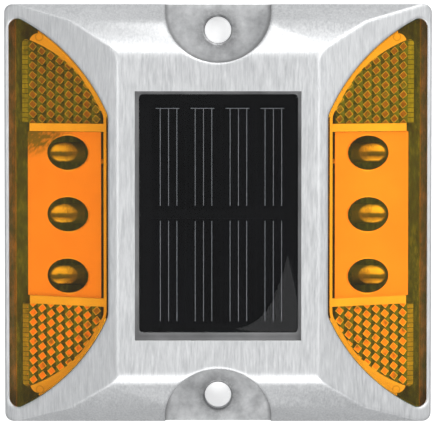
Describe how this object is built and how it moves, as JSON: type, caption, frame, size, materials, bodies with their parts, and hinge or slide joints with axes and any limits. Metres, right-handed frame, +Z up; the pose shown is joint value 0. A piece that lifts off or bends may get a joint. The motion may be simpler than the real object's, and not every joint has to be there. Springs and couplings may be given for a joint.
{
  "type": "raised pavement marker",
  "caption": "Square cast-aluminium raised pavement marker with sloping amber lenses over prism reflectors and lamps, a solar panel on top, and bolt recesses.",
  "frame": {"origin": "centre of the bottom face, which lies on the road", "axes": "+Z up from the road, X through the two amber lenses and so along the traffic's travel, Y through the two bolt recesses"},
  "size_m": [0.105, 0.1024, 0.022],
  "materials": {
    "cast_aluminium": "die cast, lightly brushed on its outer faces",
    "amber_lens": "clear amber, polished",
    "reflector_white": "moulded, smooth",
    "prism_metallised": "fine prism relief",
    "lamp_plate": "moulded, smooth",
    "lamp_epoxy": "clear, tinted",
    "tinned_lead": "tinned",
    "circuit_board": "solder mask",
    "chip_black": "moulded",
    "panel_back": "laminate",
    "silicon": "dark, satin",
    "silver_finger": "printed silver",
    "panel_epoxy": "clear resin, satin",
    "sealant_grey": "cured bead",
    "ferrite": "wound ferrite drum",
    "capacitor_can": "drawn can",
    "plug_ivory": "moulded nylon",
    "zinc_screw": "zinc plated",
    "battery_steel": "nickel plated",
    "battery_wrap": "shrink sleeve",
    "foam_pad": "closed-cell foam",
    "wire_red": "insulation",
    "wire_black": "insulation",
    "wire_yellow": "insulation",
    "gasket_rubber": "moulded",
    "cover_plastic": "moulded, fine grain"
  },
  "bodies": {
    "root": {"housing": "cast_aluminium", "lens_left": "amber_lens", "lens_right": "amber_lens", "reflector_frame_left": "reflector_white", "reflector_frame_right": "reflector_white", "prism_plate_left_rear": "prism_metallised", "prism_plate_left_front": "prism_metallised", "prism_plate_right_rear": "prism_metallised", "prism_plate_right_front": "prism_metallised", "led_plate_left": "lamp_plate", "led_plate_right": "lamp_plate", "led_left_rear": "lamp_epoxy", "led_left_middle": "lamp_epoxy", "led_left_front": "lamp_epoxy", "led_right_rear": "lamp_epoxy", "led_right_middle": "lamp_epoxy", "led_right_front": "lamp_epoxy", "led_leadframes_left": "tinned_lead", "led_leadframes_right": "tinned_lead", "led_board_left": "circuit_board", "led_board_right": "circuit_board", "led_resistors_left": "chip_black", "led_resistors_right": "chip_black", "panel_substrate": "panel_back", "solar_cells": "silicon", "cell_grid": "silver_finger", "panel_cover": "panel_epoxy", "panel_sealant": "sealant_grey", "main_board": "circuit_board", "controller_chip": "chip_black", "inductor": "ferrite", "capacitor": "capacitor_can", "diode": "chip_black", "panel_plug": "plug_ivory", "battery_plug": "plug_ivory", "led_plugs": "plug_ivory", "board_screws": "zinc_screw", "battery_can": "battery_steel", "battery_cap": "battery_steel", "battery_sleeve": "battery_wrap", "battery_tabs": "tinned_lead", "battery_pad": "foam_pad", "panel_wire_red": "wire_red", "panel_wire_black": "wire_black", "battery_wire_red": "wire_red", "battery_wire_black": "wire_black", "led_wire_left_yellow": "wire_yellow", "led_wire_left_black": "wire_black", "led_wire_right_yellow": "wire_yellow", "led_wire_right_black": "wire_black", "base_gasket": "gasket_rubber", "base_cover": "cover_plastic", "cover_screws": "zinc_screw"}
  },
  "joints": []
}
